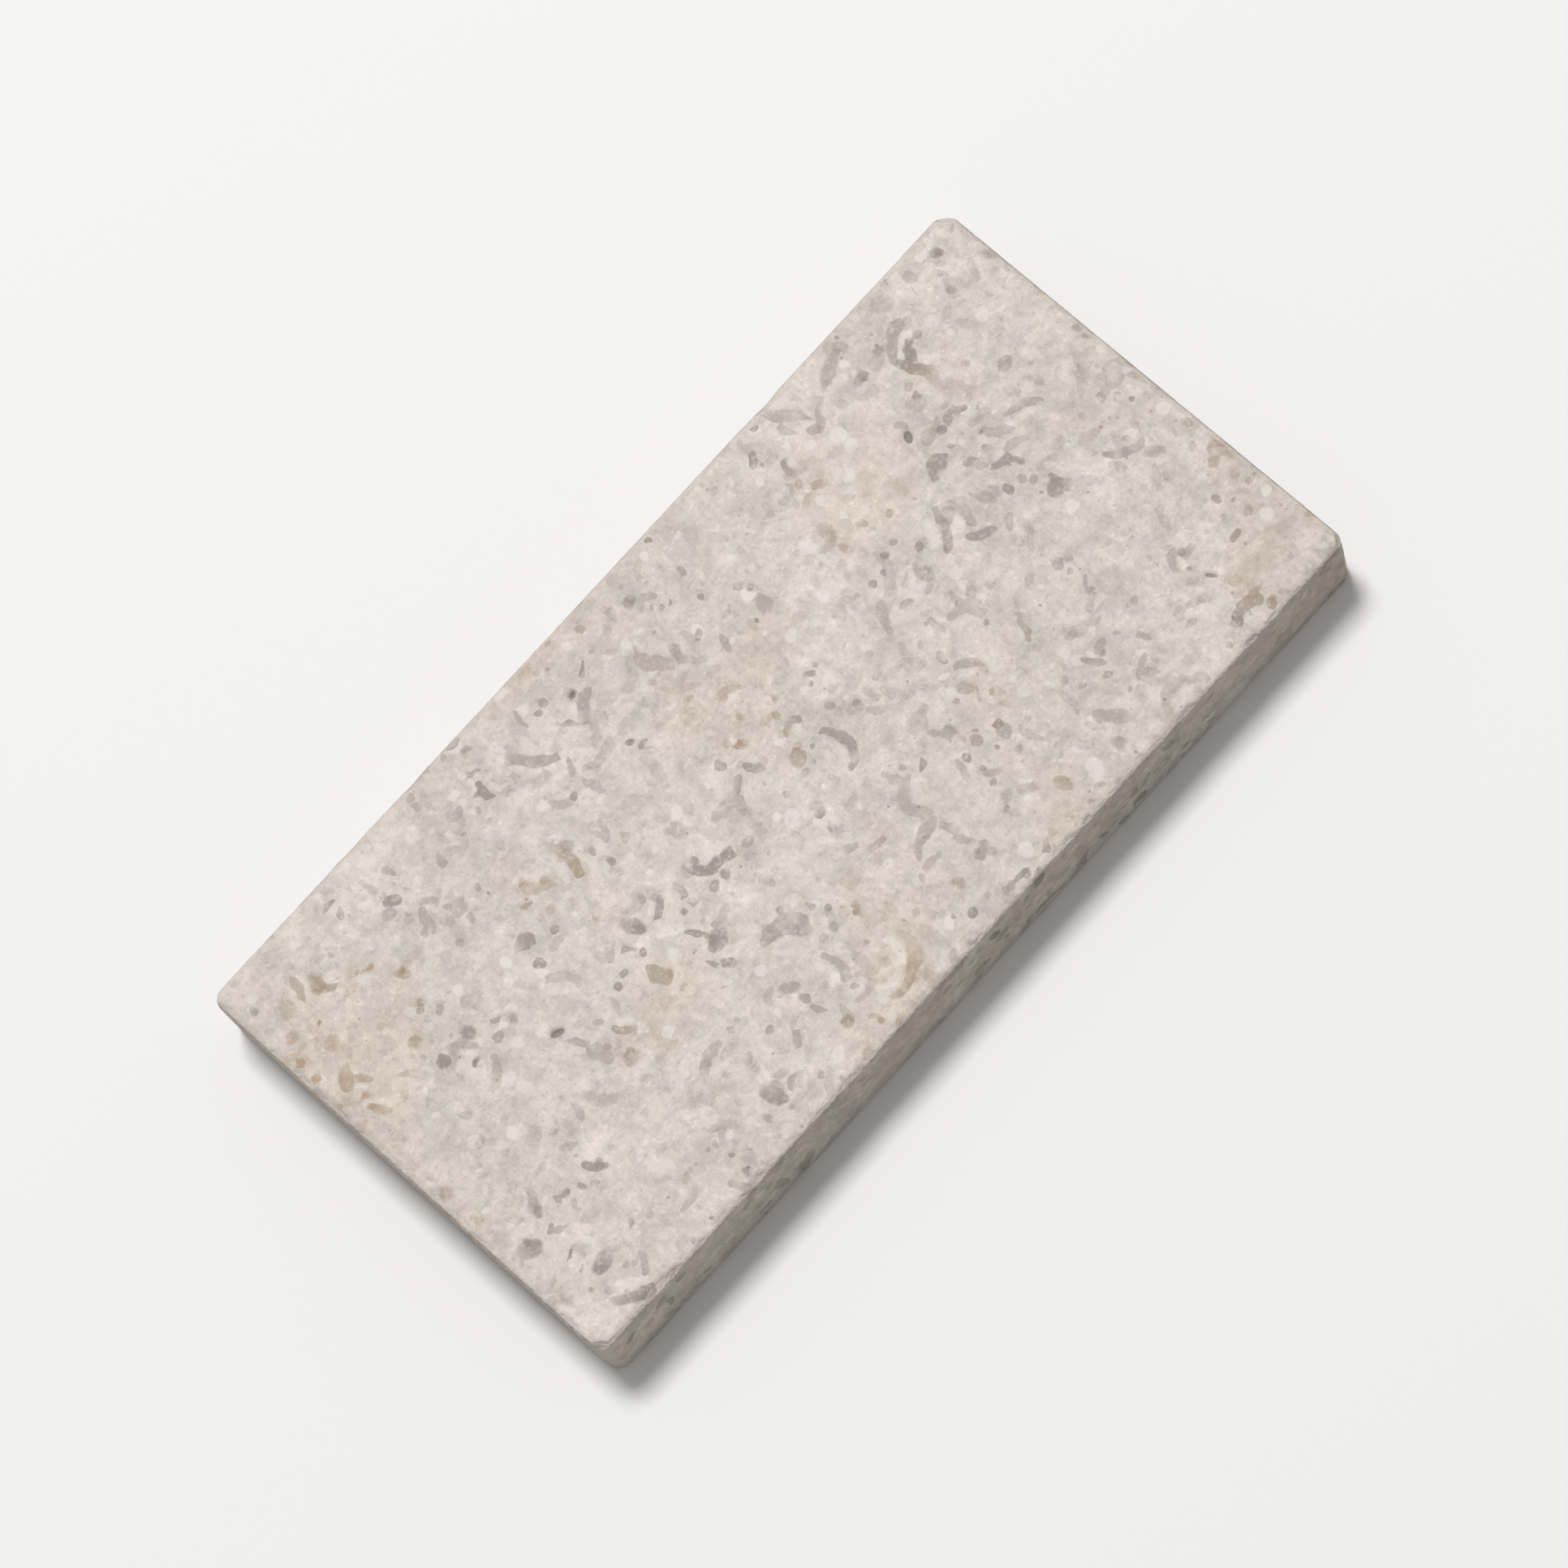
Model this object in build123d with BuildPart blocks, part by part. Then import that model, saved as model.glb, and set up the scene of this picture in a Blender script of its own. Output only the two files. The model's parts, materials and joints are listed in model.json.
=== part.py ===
from build123d import *

import os
from math import cos, radians, sin, sqrt

# A limestone brick slip: one sawn piece of stone, lying on its back with the honed face up.
# X runs along the slip, Y across it and Z up through its thickness, all in millimetres.
# The origin is the middle of the sawn back, which is the face that the adhesive holds.

# Driving dimensions
length = 200.0
width = 100.0
thickness = 20.0
face_arris = 1.8
back_arris = 0.6

# Radius of each upright corner, by its sign of X and of Y
corner_radii = {(-1, -1): 3.4, (1, -1): 2.6, (1, 1): 3.0, (-1, 1): 2.4}

# Chips on the face's long sides: side (-1 front, 1 back), place along X, span, depth, lean
# The lean is the angle above level that a chip faces: at 45 it takes face and side alike
# Neighbours run into each other, as where one blow knocks off two flakes
long_side_chips = [
    (-1, -84.0, 6.4, 0.5, 56),
    (-1, -80.4, 4.0, 0.5, 34),
    (-1, -32.5, 7.0, 0.5, 38),
    (-1, -28.6, 4.2, 0.4, 60),
    (-1, 22.5, 3.0, 0.3, 62),
    (-1, 57.0, 5.2, 0.4, 34),
    (1, -64.0, 4.4, 0.4, 56),
    (1, -8.0, 3.4, 0.3, 40),
    (1, 46.0, 6.0, 0.6, 58),
    (1, 50.2, 7.6, 0.7, 38),
    (1, 54.6, 3.6, 0.4, 60),
    (1, 86.5, 3.8, 0.4, 52),
]

# Chips on the face's short ends: end (-1 left, 1 right), place along Y, span, depth, lean
short_end_chips = [
    (-1, 21.0, 5.8, 0.5, 40),
    (-1, 25.4, 4.2, 0.4, 50),
    (-1, -18.0, 3.2, 0.3, 46),
    (1, -28.0, 4.0, 0.4, 36),
    (1, -24.8, 6.2, 0.5, 54),
    (1, 12.0, 3.2, 0.3, 45),
]

# Bruises on the face's corners: sign of X, sign of Y, span, depth, rise of the direction
corner_chips = [
    (-1, -1, 4.8, 0.4, 0.8),
    (1, 1, 6.0, 0.6, 1.3),
    (1, -1, 3.8, 0.3, 0.5),
]

# Breakouts where the blade left the stone, along the back: side, place along X, span, depth
back_chips = [
    (-1, -52.0, 6.5, 0.7),
    (-1, 71.0, 8.0, 1.0),
    (-1, 75.8, 5.0, 0.6),
    (1, -88.0, 6.4, 0.8),
    (1, 15.0, 4.8, 0.5),
]

# Natural pits: x, y, turn in degrees, half length and half width of the mouth
face_pits = [
    (-62.3, -3.3, -20, 1.7, 0.8),
    (62.6, 24.7, 62, 1.5, 0.9),
    (78.9, -35.6, -58, 1.8, 0.6),
    (-14.2, 38.5, 15, 1.1, 0.7),
]
back_pits = [
    (-71.0, 18.0, 30, 2.2, 1.2),
    (-12.0, -27.0, -50, 1.6, 1.0),
    (36.0, 11.0, 15, 2.8, 1.1),
    (84.0, -20.0, 75, 1.5, 0.9),
]


def worn_back(arris):
    """How far a rounded arris lies inside the sharp edge that it replaced."""
    return arris * (sqrt(2) - 1)


def strike(edge, outward, worn, span, depth):
    """Takes a shell-shaped chip of this span and depth out of the worn edge of the block."""
    radius = (span**2 / 4 + depth**2) / (2 * depth)
    middle = Vector(*edge) + Vector(*outward).normalized() * (radius - worn - depth)
    with Locations(middle):
        Sphere(radius, mode=Mode.SUBTRACT)


def sink(x, y, z, turn, half_long, half_wide):
    """Hollows a spheroid pit, with its long axis lying in the surface at that height."""
    along = Vector(cos(radians(turn)), sin(radians(turn)), 0)
    with BuildSketch(Plane(origin=(x, y, z), x_dir=along, z_dir=(0, 0, 1))) as half_mouth:
        Ellipse(half_long, half_wide)
        split(bisect_by=Plane.XZ, keep=Keep.TOP)
    revolve(half_mouth.sketch, axis=Axis((x, y, z), along), mode=Mode.SUBTRACT)


with BuildPart() as slip:
    # The sawn block, with its upright corners worn round
    with BuildSketch() as outline:
        Rectangle(length, width)
        for (sign_x, sign_y), radius in corner_radii.items():
            corner = Vector(sign_x * length / 2, sign_y * width / 2)
            fillet(outline.vertices().sort_by_distance(corner)[0], radius)
    extrude(amount=thickness)

    # The arrises: worn round the honed face, barely eased round the sawn back
    fillet(slip.faces().sort_by(Axis.Z)[-1].edges(), face_arris)
    fillet(slip.faces().sort_by(Axis.Z)[0].edges(), back_arris)

    # Chips along the arrises of the face
    for side, x, span, depth, lean in long_side_chips:
        outward = (0, side * cos(radians(lean)), sin(radians(lean)))
        strike((x, side * width / 2, thickness), outward, worn_back(face_arris), span, depth)
    for end, y, span, depth, lean in short_end_chips:
        outward = (end * cos(radians(lean)), 0, sin(radians(lean)))
        strike((end * length / 2, y, thickness), outward, worn_back(face_arris), span, depth)

    # Bruised corners of the face, where two worn roundings meet
    for sign_x, sign_y, span, depth, rise in corner_chips:
        corner = (sign_x * length / 2, sign_y * width / 2, thickness)
        worn = worn_back(face_arris) + worn_back(corner_radii[(sign_x, sign_y)])
        strike(corner, (sign_x, sign_y, rise), worn, span, depth)

    # Breakouts along the back
    for side, x, span, depth in back_chips:
        strike((x, side * width / 2, 0), (0, side, -1), worn_back(back_arris), span, depth)

    # Natural pits in the face and in the back
    for x, y, turn, half_long, half_wide in face_pits:
        sink(x, y, thickness, turn, half_long, half_wide)
    for x, y, turn, half_long, half_wide in back_pits:
        sink(x, y, 0, turn, half_long, half_wide)

slip.part.label = "slip"
os.makedirs("parts", exist_ok=True)
export_step(slip.part, "parts/slip.step")
print("volume", round(slip.part.volume), "mm3, size", slip.part.bounding_box().size)
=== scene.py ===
"""Dresses a limestone brick slip, and sets up the floor, the light and the camera around it.

Lengths in the classes are in millimetres unless they say otherwise. MM turns them into the scene's metres.
The slip lies on its sawn back with the honed face up, X along it and Y across it.
"""

import json
import logging
from dataclasses import dataclass
from enum import Enum
from math import sqrt, tau
from random import Random
from typing import Any, Iterator, Union

import bpy
import numpy as np
from mathutils import Euler, Matrix, Vector

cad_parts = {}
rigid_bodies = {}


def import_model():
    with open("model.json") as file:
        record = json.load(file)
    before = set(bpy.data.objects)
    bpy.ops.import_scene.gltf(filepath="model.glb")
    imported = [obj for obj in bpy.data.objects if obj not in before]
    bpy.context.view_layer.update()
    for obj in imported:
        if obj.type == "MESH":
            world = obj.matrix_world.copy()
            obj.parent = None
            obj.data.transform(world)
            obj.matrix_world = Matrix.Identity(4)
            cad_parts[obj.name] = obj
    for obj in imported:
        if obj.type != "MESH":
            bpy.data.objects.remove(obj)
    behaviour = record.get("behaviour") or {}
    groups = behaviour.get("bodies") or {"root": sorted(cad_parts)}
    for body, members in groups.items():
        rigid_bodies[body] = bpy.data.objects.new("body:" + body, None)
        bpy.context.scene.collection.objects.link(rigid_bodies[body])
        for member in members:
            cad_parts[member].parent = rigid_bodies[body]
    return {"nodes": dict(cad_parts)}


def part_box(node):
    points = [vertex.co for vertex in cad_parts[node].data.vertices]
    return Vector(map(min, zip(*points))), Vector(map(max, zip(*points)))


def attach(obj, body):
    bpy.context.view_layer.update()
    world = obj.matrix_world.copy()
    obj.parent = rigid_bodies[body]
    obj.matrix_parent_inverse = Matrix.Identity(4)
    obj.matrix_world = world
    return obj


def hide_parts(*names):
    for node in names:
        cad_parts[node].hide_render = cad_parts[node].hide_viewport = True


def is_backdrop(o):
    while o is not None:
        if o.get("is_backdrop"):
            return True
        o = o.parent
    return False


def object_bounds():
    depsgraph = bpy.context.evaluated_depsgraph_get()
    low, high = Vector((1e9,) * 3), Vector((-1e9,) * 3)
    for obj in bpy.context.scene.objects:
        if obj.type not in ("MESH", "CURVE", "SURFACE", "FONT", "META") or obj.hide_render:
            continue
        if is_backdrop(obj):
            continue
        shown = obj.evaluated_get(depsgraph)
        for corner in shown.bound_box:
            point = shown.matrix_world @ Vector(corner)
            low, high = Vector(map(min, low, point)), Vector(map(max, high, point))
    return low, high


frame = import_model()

MM = 0.001
TO_MM = 1000.0

# The middle of a random colour, and about how far cloudy noise strays from it either way
MIDDLE = (0.5, 0.5, 0.5)
NOISE_SWING = 0.25

# The least number that a power is taken of
TINY = 1e-6

Socket = bpy.types.NodeSocket
Value = Union[float, Socket]
Colour = tuple[float, float, float]
Place = tuple[float, float, float]
Span = tuple[float, float]

log_book = logging.getLogger("brick_slip")


class Side(Enum):
    """The sides of the block that a chip can be struck from, by the direction that each faces."""

    FRONT = (0, -1, 0)
    BACK = (0, 1, 0)
    LEFT = (-1, 0, 0)
    RIGHT = (1, 0, 0)


class Level(Enum):
    """The two levels that the block's level arrises lie at, by the direction out of the stone."""

    FACE = 1
    BED = -1


class Draw(Enum):
    """What a cell's random number is drawn for, by the factor that makes a draw of its own out of it."""

    SHELL_BEND = 91.7
    SHELL_REACH = 67.3
    SHELL_HELD = 83.9
    SHELL_TONE = 53.3
    GRAIN_RADIUS = 61.7
    GRAIN_HELD = 47.9
    GRAIN_TONE = 37.3


@dataclass(frozen=True)
class Warp:
    """Uneven shifts of the places in the stone: how far apart they change, and about how far they reach."""

    size: float
    reach: float
    detail: float = 2.0
    rough: float = 0.55


@dataclass(frozen=True)
class Patches:
    """Cloudy noise of one size, turned into a range of numbers.

    It gives low where the noise is at thin or below, and high where the noise is at thick or above.
    """

    size: float
    detail: float
    rough: float
    thin: float = 0.30
    thick: float = 0.70
    low: float = 0.0
    high: float = 1.0


class Bench:
    """Lays nodes in one material, so that a finish reads as the sums that it is made of."""

    def __init__(self, name: str) -> None:
        """Starts a material.

        Args:
            name: what the material is called.
        """
        self.material = bpy.data.materials.new(name)
        self.material.use_nodes = True
        self.tree = self.material.node_tree
        self.shader = next(node for node in self.tree.nodes if node.type == "BSDF_PRINCIPLED")

    def lay(self, kind: str, **settings: Any) -> bpy.types.Node:
        """Adds one node.

        Args:
            kind: Blender's name for the node's type.
            settings: the node's own settings, by name.

        Returns:
            The node.
        """
        node = self.tree.nodes.new(kind)
        for name, value in settings.items():
            setattr(node, name, value)
        return node

    def feed(self, socket: Socket, value: Any) -> None:
        """Links a socket to another node's output, or sets it to a number, a place or a colour.

        Args:
            socket: the input.
            value: what goes into it.
        """
        if isinstance(value, bpy.types.NodeSocket):
            self.tree.links.new(value, socket)
        elif socket.type == "RGBA":
            socket.default_value = (*value, 1.0)
        else:
            socket.default_value = value

    def math(self, operation: str, *terms: Value) -> Socket:
        """Works out one sum of numbers.

        Args:
            operation: Blender's name for the sum.
            terms: the numbers that go in, in order.

        Returns:
            The result.
        """
        node = self.lay("ShaderNodeMath", operation=operation)
        for socket, term in zip(node.inputs, terms):
            self.feed(socket, term)
        return node.outputs["Value"]

    def times(self, one: Value, other: Value) -> Socket:
        """Multiplies two numbers."""
        return self.math("MULTIPLY", one, other)

    def vectors(self, operation: str, *terms: Any) -> bpy.types.Node:
        """Lays one sum of vectors.

        Args:
            operation: Blender's name for the sum.
            terms: the vectors that go in, in order.

        Returns:
            The node.
        """
        node = self.lay("ShaderNodeVectorMath", operation=operation)
        for socket, term in zip(node.inputs, terms):
            self.feed(socket, term)
        return node

    def vector(self, operation: str, *terms: Any) -> Socket:
        """Works out one sum of vectors that gives a vector."""
        return self.vectors(operation, *terms).outputs["Vector"]

    def scaled(self, vector: Socket, by: Value) -> Socket:
        """Makes a vector longer or shorter.

        Args:
            vector: the vector, or a colour.
            by: how many times as long it becomes.

        Returns:
            The new vector.
        """
        node = self.vectors("SCALE", vector)
        self.feed(node.inputs["Scale"], by)
        return node.outputs["Vector"]

    def length(self, vector: Socket) -> Socket:
        """Gives a vector's length."""
        return self.vectors("LENGTH", vector).outputs["Value"]

    def dot(self, vector: Socket, other: Socket) -> Socket:
        """Gives how far one vector reaches along another, which is 1 long."""
        return self.vectors("DOT_PRODUCT", vector, other).outputs["Value"]

    def parts(self, vector: Socket) -> tuple[Socket, Socket, Socket]:
        """Splits a vector or a colour.

        Args:
            vector: what is split.

        Returns:
            Its three numbers.
        """
        node = self.lay("ShaderNodeSeparateXYZ")
        self.feed(node.inputs["Vector"], vector)
        return node.outputs["X"], node.outputs["Y"], node.outputs["Z"]

    def step(self, value: Value, start: Value, end: Value) -> Socket:
        """Rises smoothly from 0 where a value is at start to 1 where it is at end.

        Args:
            value: what is looked at.
            start: where the rise starts.
            end: where it is over, above or below start.

        Returns:
            A number from 0 to 1.
        """
        node = self.lay("ShaderNodeMapRange", interpolation_type="SMOOTHSTEP")
        self.feed(node.inputs["Value"], value)
        self.feed(node.inputs["From Min"], start)
        self.feed(node.inputs["From Max"], end)
        return node.outputs["Result"]

    def spread(self, value: Value, low: float, high: float) -> Socket:
        """Maps a number from 0 to 1 onto the range from low to high."""
        return self.math("MULTIPLY_ADD", value, high - low, low)

    def cloud(self, where: Socket, size: float, detail: float, rough: float) -> bpy.types.Node:
        """Lays a noise texture.

        Args:
            where: the place in the stone, in millimetres.
            size: how large its clouds are, in millimetres.
            detail: how many finer octaves it has.
            rough: how strong each finer octave is beside the one above it.

        Returns:
            The node. Its numbers are near 0.5, mostly from 0.25 to 0.75.
        """
        node = self.lay("ShaderNodeTexNoise")
        self.feed(node.inputs["Vector"], where)
        self.feed(node.inputs["Scale"], 1.0 / size)
        self.feed(node.inputs["Detail"], detail)
        self.feed(node.inputs["Roughness"], rough)
        return node

    def noise(self, where: Socket, size: float, detail: float, rough: float) -> Socket:
        """Gives one number of a noise texture, which is laid as cloud lays it."""
        return self.cloud(where, size, detail, rough).outputs["Fac"]

    def patchy(self, where: Socket, patches: Patches) -> Socket:
        """Gives a number that changes from patch to patch.

        Args:
            where: the place in the stone, in millimetres.
            patches: their size and their range of numbers.

        Returns:
            A number from the patches' low to their high.
        """
        noise = self.noise(where, patches.size, patches.detail, patches.rough)
        return self.spread(self.step(noise, patches.thin, patches.thick), patches.low, patches.high)

    def warped(self, where: Socket, warp: Warp) -> Socket:
        """Shifts places by noise, so that what is drawn there has uneven outlines.

        Args:
            where: the place in the stone, in millimetres.
            warp: the shifts.

        Returns:
            The shifted place.
        """
        cloud = self.cloud(where, warp.size, warp.detail, warp.rough)
        shift = self.vector("SUBTRACT", cloud.outputs["Color"], MIDDLE)
        return self.vector("ADD", where, self.scaled(shift, warp.reach / NOISE_SWING))

    def cells(self, where: Socket, spacing: float, offset: float) -> tuple[Socket, Socket, Socket]:
        """Cuts the stone into cells of uneven shape, each with its own centre and random numbers.

        Args:
            where: the place in the stone, in millimetres.
            spacing: about how far apart the centres are.
            offset: a shift that keeps one set of cells apart from another.

        Returns:
            The way here from the cell's centre in millimetres, its length, and three random numbers in one
            vector.
        """
        place = self.vector("MULTIPLY_ADD", where, (1 / spacing,) * 3, (offset,) * 3)
        texture = self.lay("ShaderNodeTexVoronoi", feature="F1")
        self.feed(texture.inputs["Vector"], place)
        self.feed(texture.inputs["Scale"], 1.0)
        away = self.scaled(self.vector("SUBTRACT", place, texture.outputs["Position"]), spacing)
        return away, self.length(away), texture.outputs["Color"]

    def drawn(self, number: Socket, draw: Draw) -> Socket:
        """Makes another random number from 0 to 1 out of a cell's own."""
        return self.math("FRACT", self.times(number, draw.value))

    def squeezed(self, away: Socket, pole: Socket, stretch: float) -> Socket:
        """Shortens a way along a pole, so that a ball measured by it is longer than it is wide.

        Args:
            away: the way from the ball's centre.
            pole: the direction that the ball is long in.
            stretch: how many times as long as wide the ball is.

        Returns:
            The shortened way.
        """
        excess = self.times(self.dot(away, pole), 1 - 1 / stretch)
        return self.vector("SUBTRACT", away, self.scaled(pole, excess))

    def blend(self, amount: Value, under: Any, over: Any) -> Socket:
        """Lays one colour over another.

        Args:
            amount: how much of the upper colour there is, from 0 to 1.
            under: the colour below.
            over: the colour above.

        Returns:
            The mixed colour.
        """
        node = self.lay("ShaderNodeMix", data_type="RGBA")
        sockets = {socket.identifier: socket for socket in node.inputs}
        self.feed(sockets["Factor_Float"], amount)
        self.feed(sockets["A_Color"], under)
        self.feed(sockets["B_Color"], over)
        return next(socket for socket in node.outputs if socket.identifier == "Result_Color")


@dataclass(frozen=True)
class Tint:
    """A wash of another colour. It starts where its noise is at thin, and is whole where it is at thick."""

    colour: Colour
    thin: float
    thick: float
    amount: float

    def wash(self, bench: Bench, noise: Socket, under: Any) -> tuple[Socket, Socket]:
        """Lays the tint over a colour.

        Args:
            bench: the material's nodes.
            noise: the tint's own noise.
            under: the colour below.

        Returns:
            The tinted colour, and how whole the wash is here, from 0 to 1.
        """
        strength = bench.step(noise, self.thin, self.thick)
        return bench.blend(bench.times(strength, self.amount), under, self.colour), strength


@dataclass(frozen=True)
class PackedGrains:
    """Small grains that lie side by side through the whole stone, each with a tone of its own.

    The tone is whole out to core and gone at rim, which are shares of the spacing.
    """

    spacing: float
    contrast: float
    offset: float
    core: float = 0.28
    rim: float = 0.62


@dataclass(frozen=True)
class ShellBed:
    """Shell fragments of one size: thin curved flakes through the stone, which the saw cut across.

    A share of the cells holds one. Each is a piece of a sphere's skin, whose radius is bend times a number
    from bends. It reaches from shortest to all of reach, but at most curl times that radius, and its wall
    thins towards the rim by the power of taper. The faintest has that share of the darkest one's colour. The
    colour is whole out to core, a share of half the wall. A pale lining lies on the hollow side, lining_off
    walls away, and is whole out to lining_core.
    """

    spacing: float
    reach: float
    bend: float
    wall: float
    share: float
    amount: float
    offset: float
    bends: Span = (0.6, 1.9)
    shortest: float = 0.5
    curl: float = 1.1
    taper: float = 0.35
    faintest: float = 0.25
    core: float = 0.70
    lining_off: float = 0.9
    lining_core: float = 0.4
    lining_amount: float = 0.45


@dataclass(frozen=True)
class GrainBed:
    """Lumpy grains of one size, scattered through the stone.

    A share of the cells holds one. The smallest has that share of radius, and the faintest that share of the
    strongest one's colour. The colour is whole out to core, a share of the grain's own radius.
    """

    spacing: float
    radius: float
    stretch: float
    share: float
    amount: float
    offset: float
    smallest: float = 0.35
    faintest: float = 0.35
    core: float = 0.72


@dataclass(frozen=True)
class Wear:
    """Where the sawn block has lost stone: along its arrises, and in its pits.

    A span holds the depths at which the loss starts and at which it is whole. The depth is under the block's
    nearest plane in arris_depth and pit_depth, and under the second nearest in arris_reach and pit_clear.
    """

    arris_depth: Span = (0.06, 0.42)
    arris_reach: Span = (4.0, 2.2)
    pit_depth: Span = (0.12, 0.45)
    pit_clear: Span = (3.4, 4.6)
    raggedness: float = 0.5
    ragged_size: float = 0.9
    ragged_detail: float = 3.0
    ragged_rough: float = 0.5

    def find(self, bench: Bench, where: Socket, low: Vector, high: Vector) -> tuple[Socket, Socket]:
        """Finds the worn arrises and the pits by their depth inside the sawn block.

        Args:
            bench: the material's nodes.
            where: the place in the stone, in millimetres.
            low: the block's lowest corner, in metres.
            high: its highest corner.

        Returns:
            How much of this place is worn arris, and how much is pit, from 0 to 1.
        """
        middle = (low + high) / 2 * TO_MM
        half = (high - low) / 2 * TO_MM
        from_middle = bench.vector("ABSOLUTE", bench.vector("SUBTRACT", where, tuple(middle)))
        deep_x, deep_y, deep_z = bench.parts(bench.vector("SUBTRACT", tuple(half), from_middle))
        nearest_side = bench.math("MINIMUM", deep_x, deep_y)
        nearest = bench.math("MINIMUM", nearest_side, deep_z)
        inner = bench.math("MINIMUM", bench.math("MAXIMUM", deep_x, deep_y), deep_z)
        second = bench.math("MAXIMUM", nearest_side, inner)

        noise = bench.noise(where, self.ragged_size, self.ragged_detail, self.ragged_rough)
        raised = bench.math("SUBTRACT", nearest, self.raggedness / 2)
        ragged = bench.math("MULTIPLY_ADD", noise, self.raggedness, raised)
        worn = bench.times(bench.step(ragged, *self.arris_depth), bench.step(second, *self.arris_reach))
        in_pit = bench.times(bench.step(nearest, *self.pit_depth), bench.step(second, *self.pit_clear))
        return worn, in_pit


@dataclass(frozen=True)
class SawMarks:
    """The blade's marks: wide arcs round a hub, across the back, and slanted lines on the sides.

    They wander by up to wander, in radians of their own waves. A span holds how far up the surface faces
    where the marks start, and where they are whole.
    """

    hub: Place = (-70.0, -240.0, 0.0)
    arc_pitch: float = 2.7
    line_pitch: float = 1.9
    slant: float = 0.45
    depth: float = 0.035
    wander: float = 1.6
    wander_size: float = 9.0
    wander_detail: float = 1.0
    wander_rough: float = 0.5
    kept: Patches = Patches(size=16.0, detail=1.0, rough=0.5, thin=0.35, thick=0.65)
    back_facing: Span = (-0.6, -0.9)
    side_facing: Span = (0.4, 0.15)

    def height(self, bench: Bench, where: Socket, facing_up: Socket) -> Socket:
        """Draws the marks, which wander and are kept in patches.

        Args:
            bench: the material's nodes.
            where: the place in the stone, in millimetres.
            facing_up: how far up the surface faces, from -1 to 1.

        Returns:
            Their height in millimetres.
        """
        x, y, z = bench.parts(where)
        noise = bench.noise(where, self.wander_size, self.wander_detail, self.wander_rough)
        wander = bench.spread(noise, -self.wander, self.wander)
        from_hub = bench.length(bench.vector("SUBTRACT", where, self.hub))
        arcs = bench.math("SINE", bench.math("MULTIPLY_ADD", from_hub, tau / self.arc_pitch, wander))
        along = bench.math("MULTIPLY_ADD", z, self.slant, bench.math("ADD", x, y))
        lines = bench.math("SINE", bench.math("MULTIPLY_ADD", along, tau / self.line_pitch, wander))
        on_back = bench.step(facing_up, *self.back_facing)
        on_sides = bench.step(bench.math("ABSOLUTE", facing_up), *self.side_facing)
        marks = bench.math("ADD", bench.times(arcs, on_back), bench.times(lines, on_sides))
        return bench.times(bench.times(marks, bench.patchy(where, self.kept)), self.depth)


@dataclass(frozen=True)
class Bumps:
    """One layer of fine bumps that only the light shows."""

    size: float
    detail: float
    rough: float
    height: float

    def noise(self, bench: Bench, where: Socket) -> Socket:
        """Gives the noise that the bumps follow."""
        return bench.noise(where, self.size, self.detail, self.rough)


@dataclass(frozen=True)
class Sheen:
    """How rough the stone is to light: honed stone has a soft sheen, and sawn and broken stone none.

    honed_facing holds how far up the surface faces where honing starts, and where it is whole. What comes
    after it is added to the roughness: by how sound the stone is, and where it is shell, broken or pore.
    """

    sawn: float = 0.82
    honed: float = 0.68
    honed_facing: Span = (0.45, 0.85)
    soundness: Span = (0.06, -0.06)
    shell: float = -0.08
    broken: float = 0.22
    pore: float = 0.20

    def ground(self, bench: Bench, facing_up: Socket, sound: Socket) -> Socket:
        """Gives the roughness of the ground, before what is shell, broken or pore.

        Args:
            bench: the material's nodes.
            facing_up: how far up the surface faces, from -1 to 1.
            sound: how sound the stone is here, up to 1.

        Returns:
            The roughness.
        """
        plain = bench.spread(bench.step(facing_up, *self.honed_facing), self.sawn, self.honed)
        return bench.math("ADD", plain, bench.spread(sound, *self.soundness))


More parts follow.
